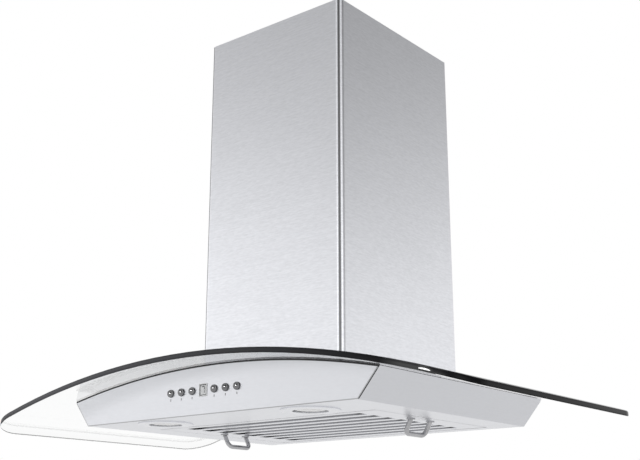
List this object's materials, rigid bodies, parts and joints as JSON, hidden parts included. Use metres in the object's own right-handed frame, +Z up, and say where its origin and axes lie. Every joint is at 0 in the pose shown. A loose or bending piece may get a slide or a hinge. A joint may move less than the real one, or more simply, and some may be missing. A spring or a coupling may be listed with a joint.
{
  "type": "wall mount range hood",
  "caption": "Wall mount range hood: telescopic square chimney on an arched glass canopy, slim steel body with push buttons, lamps and a swing-down baffle filter.",
  "frame": {"origin": "on the wall plane, at the middle of the lower edge of the back panel", "axes": "+Y into the wall, so the front faces -Y; +Z up; +X to the right seen from the front"},
  "size_m": [0.9, 0.49, 0.6798],
  "materials": {
    "stainless": "horizontal brushed grain",
    "galvanised": "galvanised sheet",
    "polished": "polished",
    "canopy_glass": "clear toughened glass",
    "lamp_glass": "frosted",
    "rubber": "matt black",
    "display": "dark clear window",
    "frame_plastic": "black moulded",
    "housing_plastic": "light grey moulded",
    "circuit": "circuit board",
    "motor_paint": "grey paint"
  },
  "bodies": {
    "hood": {"glass_canopy": "canopy_glass", "glass_gasket": "rubber", "front_panel": "stainless", "left_side_panel": "stainless", "right_side_panel": "stainless", "back_panel": "galvanised", "top_sheet": "galvanised", "bottom_pan": "stainless", "filter_catches": "stainless", "display_bezel": "frame_plastic", "display_window": "display", "display_module": "frame_plastic", "control_housing": "frame_plastic", "control_board": "circuit", "control_switches": "frame_plastic", "blower_box": "galvanised", "box_pad": "rubber", "glass_spacers": "rubber", "clamp_screws": "stainless", "blower_scroll": "housing_plastic", "discharge_duct": "housing_plastic", "motor": "motor_paint", "motor_screws": "stainless", "motor_capacitor": "housing_plastic", "wiring_box": "frame_plastic", "duct_collar": "galvanised", "cable_gland": "frame_plastic", "lower_chimney_cover": "stainless", "cover_brackets": "galvanised", "left_lamp_bezel": "stainless", "right_lamp_bezel": "stainless", "left_lamp_lens": "lamp_glass", "right_lamp_lens": "lamp_glass", "left_lamp_housing": "galvanised", "right_lamp_housing": "galvanised"},
    "filter": {"filter_tray": "stainless", "filter_baffles": "stainless", "filter_hinge_pins": "stainless", "left_filter_handle": "polished", "right_filter_handle": "polished"},
    "fan": {"impeller": "housing_plastic", "motor_shaft": "stainless"},
    "front_flap": {"front_damper_flap": "galvanised"},
    "rear_flap": {"rear_damper_flap": "galvanised"},
    "upper_cover": {"upper_chimney_cover": "stainless"},
    "button_1": {"button_1": "polished"},
    "button_2": {"button_2": "polished"},
    "button_3": {"button_3": "polished"},
    "button_4": {"button_4": "polished"},
    "button_5": {"button_5": "polished"},
    "button_6": {"button_6": "polished"}
  },
  "joints": [
    {"name": "filter_swing", "type": "hinge", "parent": "hood", "child": "filter", "pos_m": [0, -0.035, 0.006], "axis": [1, 0, 0], "range_deg": [0, 75]},
    {"name": "fan_spin", "type": "hinge", "parent": "hood", "child": "fan", "pos_m": [0, -0.1463, 0.212], "axis": [1, 0, 0], "continuous": true},
    {"name": "front_flap_swing", "type": "hinge", "parent": "hood", "child": "front_flap", "pos_m": [0, -0.1325, 0.371], "axis": [-1, 0, 0], "range_deg": [0, 75]},
    {"name": "rear_flap_swing", "type": "hinge", "parent": "hood", "child": "rear_flap", "pos_m": [0, -0.1255, 0.371], "axis": [1, 0, 0], "range_deg": [0, 75]},
    {"name": "upper_cover_slide", "type": "slide", "parent": "hood", "child": "upper_cover", "axis": [0, 0, 1], "range_m": [0, 0.28]},
    {"name": "button_1_press", "type": "slide", "parent": "hood", "child": "button_1", "axis": [0, 1, 0], "range_m": [0, 0.0015], "stiffness_N_per_m": 600},
    {"name": "button_2_press", "type": "slide", "parent": "hood", "child": "button_2", "axis": [0, 1, 0], "range_m": [0, 0.0015], "stiffness_N_per_m": 600},
    {"name": "button_3_press", "type": "slide", "parent": "hood", "child": "button_3", "axis": [0, 1, 0], "range_m": [0, 0.0015], "stiffness_N_per_m": 600},
    {"name": "button_4_press", "type": "slide", "parent": "hood", "child": "button_4", "axis": [0, 1, 0], "range_m": [0, 0.0015], "stiffness_N_per_m": 600},
    {"name": "button_5_press", "type": "slide", "parent": "hood", "child": "button_5", "axis": [0, 1, 0], "range_m": [0, 0.0015], "stiffness_N_per_m": 600},
    {"name": "button_6_press", "type": "slide", "parent": "hood", "child": "button_6", "axis": [0, 1, 0], "range_m": [0, 0.0015], "stiffness_N_per_m": 600}
  ]
}
